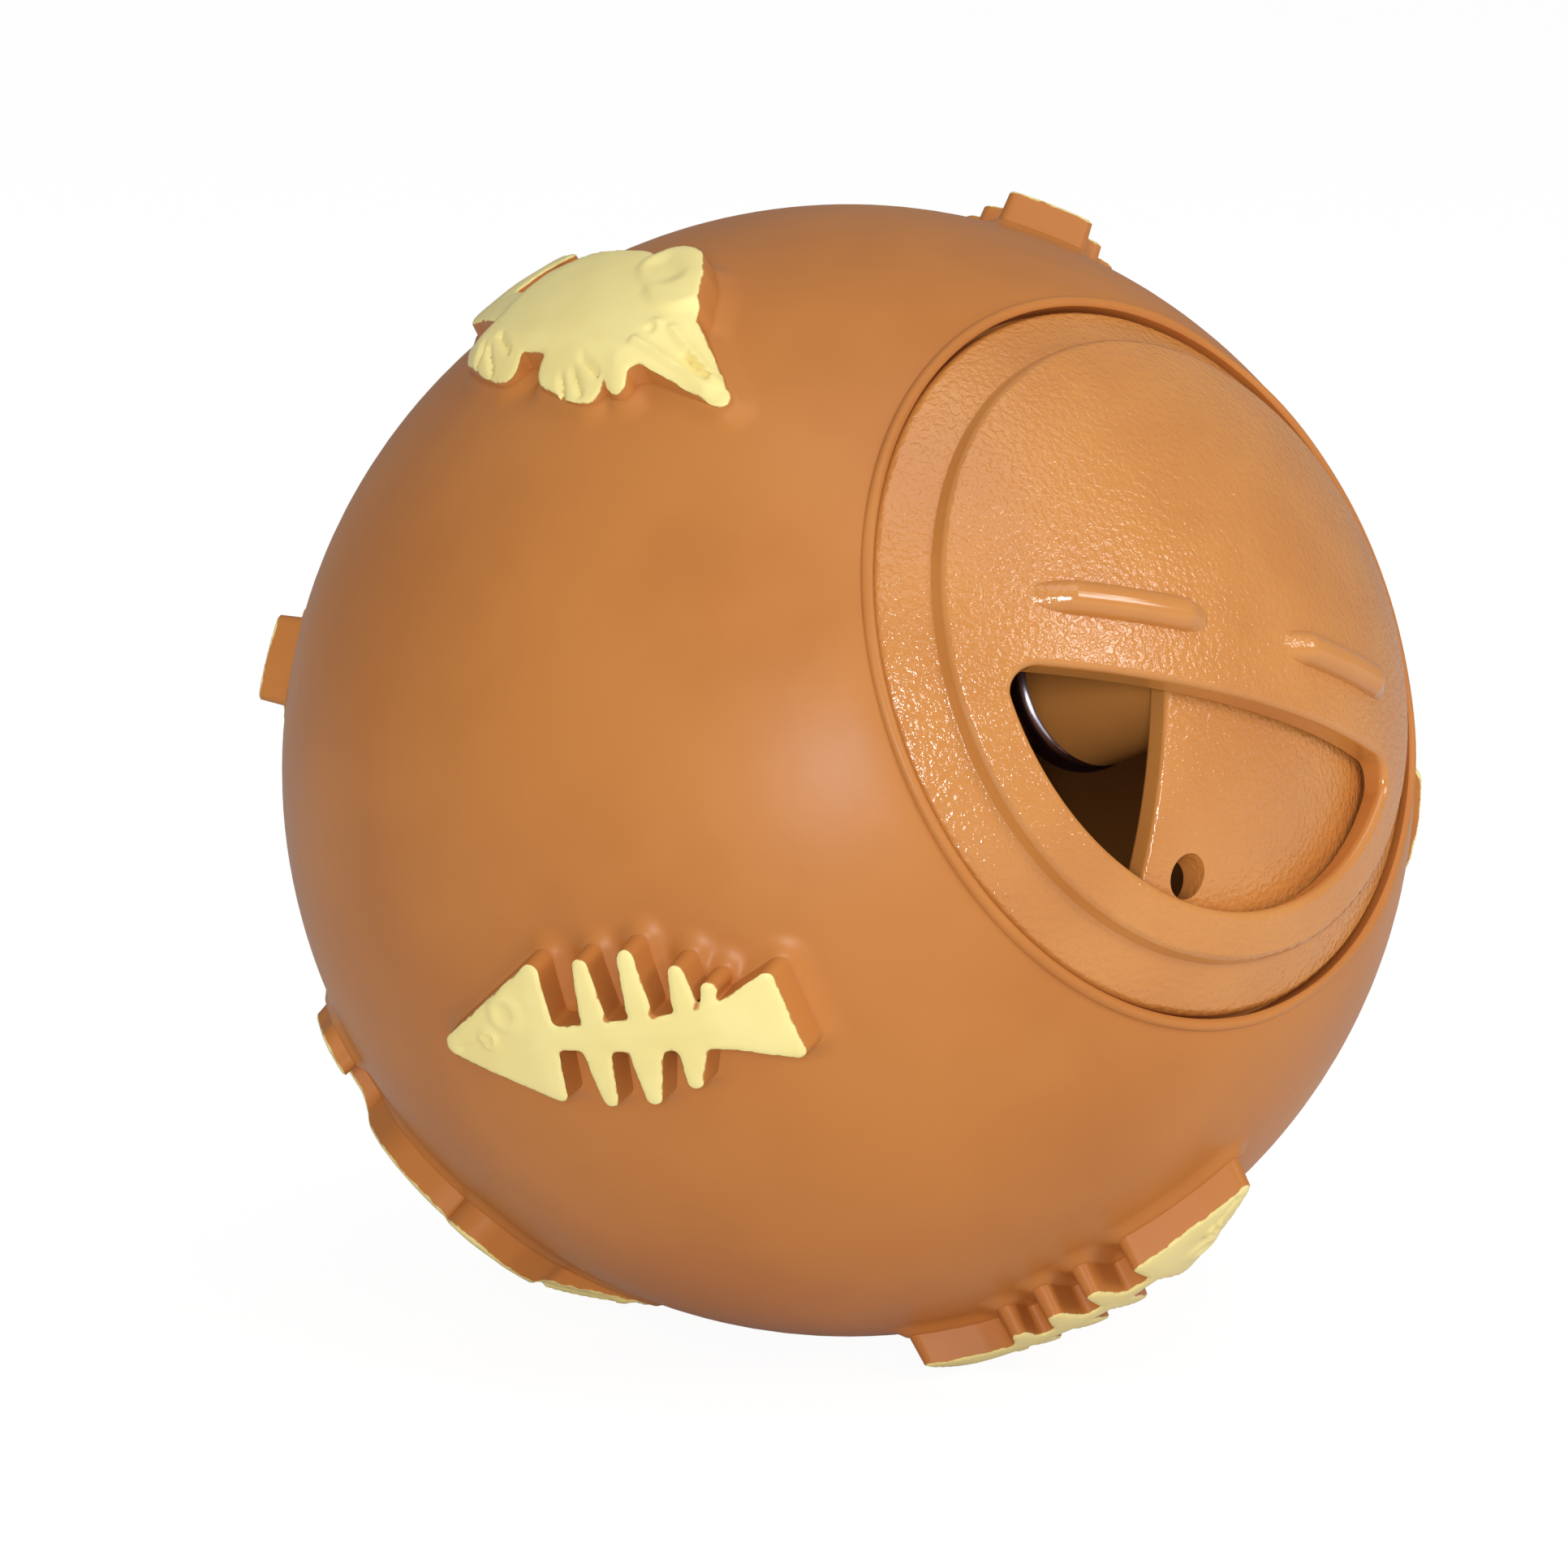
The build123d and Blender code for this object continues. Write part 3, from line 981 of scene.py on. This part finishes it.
@dataclass
class BallSkin:
    """Hollow ball: outer skin with a cove round each figure, rolled lip, seat, collar and inner wall."""

    radius: float = 35.0 * MM
    wall: float = 2.2 * MM
    mouth_radius: float = 21.7 * MM
    throat_radius: float = 19.6 * MM
    seat_height: float = 25.48 * MM
    collar_height: float = 2.2 * MM
    lip_width: float = 0.75 * MM
    lip_rise: float = 0.24 * MM
    lip_start: float = math.radians(78)
    lip_sweep: float = math.radians(168)
    lip_steps: int = 8
    lip_gap_cells: float = 1 / 3
    lip_waver: float = 0.8
    wavers_per_mm: float = 0.12
    waver_low_share: float = 0.05
    waver_reach_widths: float = 2.0
    skin_edge_widths: float = 1.1
    skin_depth_share: float = 0.25
    cell: float = 1.45 * MM
    weld_share: float = 0.001
    refinements: int = 3
    refined_cells: float = 0.7
    cove_width: float = 1.3 * MM
    cove_rise: float = 0.5 * MM
    figures: list[Figure] = field(default_factory=list)

    def arc(self, radius: float, start: float, end: float) -> list[Spot]:
        """Give points of a half section on a sphere about the ball's centre.

        Args:
            radius: Sphere's radius.
            start: First angle from the cap's axis.
            end: Last angle from the cap's axis.

        Returns:
            Pairs of ring radius and height.
        """
        steps = max(2, round(abs(end - start) * radius / self.cell))
        angles = [start + (end - start) * step / steps for step in range(steps + 1)]
        return [(radius * math.sin(angle), radius * math.cos(angle)) for angle in angles]

    def section(self) -> list[Spot]:
        """Give the half section from the outer back, over the lip and through the mouth, to the inner back.

        Returns:
            Pairs of ring radius and height.
        """
        bead = self.lip_width / 2
        ring = self.mouth_radius + bead
        height = math.sqrt((self.radius + self.lip_rise - bead) ** 2 - ring**2)
        start = math.atan2(ring, height) + self.lip_start
        turns = [start - self.lip_sweep * step / self.lip_steps for step in range(self.lip_steps + 1)]
        lip = [(ring + bead * math.sin(turn), height + bead * math.cos(turn)) for turn in turns]
        gap = self.lip_gap_cells * self.cell / self.radius
        outer = self.arc(self.radius, math.pi, math.atan2(*lip[0]) + gap)
        cavity = self.radius - self.wall
        collar = self.seat_height - self.collar_height
        seat = [
            (self.mouth_radius, self.seat_height),
            (self.throat_radius, self.seat_height),
            (self.throat_radius, collar),
        ]
        return outer + lip + seat + self.arc(cavity, math.acos(collar / cavity), math.pi)

    def mesh(self) -> BMesh:
        """Make the skin in cap coordinates.

        Returns:
            A closed mesh.
        """
        bm = bmesh.new()
        verts = [bm.verts.new((ring, 0, height)) for ring, height in self.section()]
        edges = [bm.edges.new(pair) for pair in zip(verts, verts[1:])]
        steps = round(math.tau * self.radius / self.cell)
        about = {"cent": (0, 0, 0), "axis": (0, 0, 1), "angle": math.tau}
        bmesh.ops.spin(bm, geom=verts + edges, steps=steps, use_merge=True, **about)
        bmesh.ops.remove_doubles(bm, verts=bm.verts, dist=self.cell * self.weld_share)
        bmesh.ops.recalc_face_normals(bm, faces=bm.faces)
        self.waver_lip(bm)
        self.refine(bm)
        self.raise_coves(bm)
        return bm

    def waver_lip(self, bm: BMesh) -> None:
        """Make the rolled lip a little uneven round the mouth.

        Args:
            bm: Skin as it was spun.
        """
        low = self.radius + self.lip_rise * self.waver_low_share
        edge = self.mouth_radius + self.waver_reach_widths * self.lip_width
        for vert in bm.verts:
            if vert.co.length > low and math.hypot(vert.co.x, vert.co.y) < edge:
                drift = noise.noise(vert.co * self.wavers_per_mm / MM) * self.lip_waver
                proud = (vert.co.length - self.radius) * (1 + drift)
                vert.co = vert.co.normalized() * (self.radius + proud)

    def outer(self, bm: BMesh) -> list[BMVert]:
        """Give the points of the plain outer skin, without the lip.

        Args:
            bm: Skin.

        Returns:
            Its outer points.
        """
        edge = self.mouth_radius + self.skin_edge_widths * self.lip_width
        limit = self.radius - self.wall * self.skin_depth_share
        skin = [vert for vert in bm.verts if vert.co.length > limit]
        return [vert for vert in skin if vert.co.z < 0 or math.hypot(vert.co.x, vert.co.y) > edge]

    def near_figures(self, verts: Sequence[BMVert]) -> np.ndarray:
        """Give each point's distance to the foot of the nearest figure.

        Args:
            verts: Points of the outer skin.

        Returns:
            One distance to a point, infinity far from all figures.
        """
        points = np.array([vert.co for vert in verts])
        nearest = np.full(len(points), np.inf)
        for figure in self.figures:
            for place in figure.places:
                local = points @ np.array(place.matrix().to_3x3())
                beside = np.hypot(local[:, 0], local[:, 1]) < figure.length * figure.near_share
                close = np.flatnonzero((local[:, 2] > 0) & beside)
                if len(close):
                    distances = figure.distance(local[close, :2]) - figure.draft
                    nearest[close] = np.minimum(nearest[close], distances)
        return nearest

    def refine(self, bm: BMesh) -> None:
        """Divide the skin's cells along the feet of the figures.

        Args:
            bm: Skin.
        """
        size = self.cell
        for _ in range(self.refinements):
            verts = self.outer(bm)
            distances = self.near_figures(verts)
            low, high = -self.refined_cells * size, self.cove_width + self.refined_cells * size
            band = {vert for vert, distance in zip(verts, distances) if low < distance < high}
            faces = [face for face in bm.faces if any(vert in band for vert in face.verts)]
            edges = list({edge for face in faces for edge in face.edges})
            bmesh.ops.subdivide_edges(bm, edges=edges, cuts=1, use_grid_fill=True)
            for vert in self.outer(bm):
                vert.co = vert.co.normalized() * self.radius
            size /= 2

    def raise_coves(self, bm: BMesh) -> None:
        """Lift the skin in a small cove against each figure's walls.

        Args:
            bm: Skin.
        """
        verts = self.outer(bm)
        away = np.clip(self.near_figures(verts), 0.0, self.cove_width) / self.cove_width
        rises = self.cove_rise * (1 - away) ** 2
        for vert, rise in zip(verts, rises):
            vert.co = vert.co.normalized() * (self.radius + rise)

    def add_pieces(self, matrix: Matrix) -> None:
        """Make the skin, in place of the ball's node, and the figures on it.

        Args:
            matrix: From cap coordinates to the shared frame.
        """
        bm = self.mesh()
        bmesh.ops.transform(bm, matrix=matrix, verts=bm.verts)
        ball = piece_from("ball_skin", bm, VinylFinish().material())
        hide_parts(Node.BALL.value)
        painted = PaintedVinylFinish().material()
        for figure in self.figures:
            figure.add_pieces(matrix, painted)


@dataclass(frozen=True)
class Dispenser:
    """Cap, shutter and screw, which keep the frame's meshes and take their finishes."""

    centre: Vector
    cap_pebbled_radii: tuple[float, ...] = (34.5 * MM, 35.45 * MM)
    shutter_pebbled_radii: tuple[float, ...] = (33.55 * MM,)
    pebble_fade: float = 0.06 * MM

    def dress(self, nodes: dict[str, bpy.types.Object]) -> None:
        """Give the three nodes their finishes.

        Args:
            nodes: Objects of the frame's nodes, by name.
        """
        finishes = {
            Node.CAP: MouldedPlasticFinish("cap_plastic"),
            Node.SHUTTER: MouldedPlasticFinish("shutter_plastic"),
            Node.SCREW: PlatedSteelFinish(),
        }
        for node, finish in finishes.items():
            data = nodes[node.value].data
            data.materials.clear()
            data.materials.append(finish.material())
            LOG.info("%s: %d faces, finish %s", node.value, len(data.polygons), data.materials[0].name)
        self.mark_pebbles(nodes[Node.CAP.value], self.cap_pebbled_radii)
        self.mark_pebbles(nodes[Node.SHUTTER.value], self.shutter_pebbled_radii)

    def mark_pebbles(self, node: bpy.types.Object, radii: Sequence[float]) -> None:
        """Store on a node's points where its outer face is pebbled.

        Args:
            node: Object of the node.
            radii: Radii of its pebbled faces about the ball's centre.
        """
        layer = node.data.attributes.new(PEBBLE_ATTRIBUTE, "FLOAT", "POINT")
        for vert, item in zip(node.data.vertices, layer.data):
            reach = (node.matrix_world @ vert.co - self.centre).length
            item.value = max(0.0, 1.0 - min(abs(reach - radius) for radius in radii) / self.pebble_fade)


@dataclass(frozen=True)
class SoftBox:
    """Rectangular studio lamp aimed at the ball, seen or unseen in glossy reflections."""

    name: str
    azimuth: float
    elevation: float
    distance: float
    width: float
    height: float
    power: float
    gloss: bool = True

    def build(self, target: Vector) -> None:
        """Add the lamp.

        Args:
            target: Point that it is aimed at.
        """
        back = away_from_ball(self.azimuth, self.elevation)
        lamp = bpy.data.lights.new(self.name, "AREA")
        lamp.shape = "RECTANGLE"
        lamp.size = self.width
        lamp.size_y = self.height
        lamp.energy = self.power
        holder = bpy.data.objects.new(self.name, lamp)
        holder.location = target + back * self.distance
        holder.rotation_euler = (-back).to_track_quat("-Z", "Y").to_euler()
        holder.visible_glossy = self.gloss
        bpy.context.scene.collection.objects.link(holder)


@dataclass
class Studio:
    """Pale floor, soft lamps, even world light and the camera of the photograph."""

    target: Vector
    image_size: int = 1932
    ball_pixel: tuple[float, float] = (1045.1, 949.2)
    azimuth: float = -44.61
    elevation: float = 10.07
    roll: float = 1.77
    distance: float = 420 * MM
    near_share: float = 0.1
    lens: float = 155.48
    sensor: float = 36.0
    floor_size: float = 12.0
    floor_colour: Colour = (232, 232, 232)
    floor_glow: float = 1.1
    floor_glow_share: float = 0.86
    mirrored_glow: float = 0.15
    world_strength: float = 0.29
    lamps: tuple[SoftBox, ...] = (
        SoftBox("key_box", -47.5, 10.5, 1.1, 0.22, 0.28, 5.7),
        SoftBox("top_box", -20.0, 70.0, 1.1, 0.9, 0.9, 3.2),
        SoftBox("side_box", 11.6, 29.7, 1.2, 0.4, 0.32, 3.2),
        SoftBox("fill_box", 52.0, 0.0, 1.2, 0.6, 0.5, 3.8, gloss=False),
    )

    def build(self) -> None:
        """Add the floor, the world, the lamps and the camera."""
        self.add_floor()
        self.add_world()
        for lamp in self.lamps:
            lamp.build(self.target)
        self.add_camera()

    def add_floor(self) -> None:
        """Add the floor at the height that the ball stands on."""
        bm = bmesh.new()
        bmesh.ops.create_grid(bm, x_segments=1, y_segments=1, size=self.floor_size / 2)
        floor = object_from("studio_floor", bm, self.floor_material())

    def floor_material(self) -> bpy.types.Material:
        """Make a pale floor that looks close to white and still takes the ball's shadow.

        Returns:
            The material.
        """
        graph = ShaderGraph("pale_floor")
        path = graph.node("ShaderNodeLightPath")
        camera, glass, mirror = (
            Signal(graph, path.outputs[f"Is {kind} Ray"]) for kind in ("Camera", "Transmission", "Glossy")
        )
        matt = graph.signal("ShaderNodeBsdfDiffuse", 0, None, {"Color": linear(*self.floor_colour)})
        glow = graph.signal("ShaderNodeEmission", 0, None, {"Strength": self.floor_glow})
        share = self.floor_glow_share * (camera + glass + self.mirrored_glow * mirror)
        mixed = graph.signal("ShaderNodeMixShader", 0, None, {0: share, 1: matt, 2: glow})
        graph.node("ShaderNodeOutputMaterial", None, {"Surface": mixed})
        return graph.material

    def add_world(self) -> None:
        """Light everything evenly from all round."""
        world = bpy.data.worlds.new("even_light")
        world.use_nodes = True
        light = world.node_tree.nodes["Background"].inputs
        light["Strength"].default_value = self.world_strength
        light["Color"].default_value = WHITE
        bpy.context.scene.world = world

    def add_camera(self) -> None:
        """Look at the ball from where the photograph was taken."""
        back = away_from_ball(self.azimuth, self.elevation)
        data = bpy.data.cameras.new("photo_camera")
        data.lens = self.lens
        data.sensor_width = self.sensor
        data.shift_x = (self.image_size / 2 - self.ball_pixel[0]) / self.image_size
        data.shift_y = (self.ball_pixel[1] - self.image_size / 2) / self.image_size
        data.clip_start = self.distance * self.near_share
        camera = bpy.data.objects.new("photo_camera", data)
        look = (-back).to_track_quat("-Z", "Y").to_matrix().to_4x4()
        roll = Matrix.Rotation(math.radians(self.roll), 4, "Z")
        camera.matrix_world = Matrix.Translation(self.target + back * self.distance) @ look @ roll
        bpy.context.scene.collection.objects.link(camera)
        bpy.context.scene.camera = camera


def main() -> None:
    """Dress the frame and set the studio round it."""
    logging.basicConfig(level=logging.INFO, format="%(name)s: %(message)s")
    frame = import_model()
    bpy.context.scene.view_settings.view_transform = "Standard"
    cap_frame = CapFrame.from_record(frame["record"])
    skin = BallSkin()
    skin.figures = [FishFigure(skin.radius), MouseFigure(skin.radius)]
    skin.add_pieces(cap_frame.matrix())
    Dispenser(cap_frame.centre).dress(frame["nodes"])
    Studio(cap_frame.centre).build()


if __name__ == "__main__":
    main()
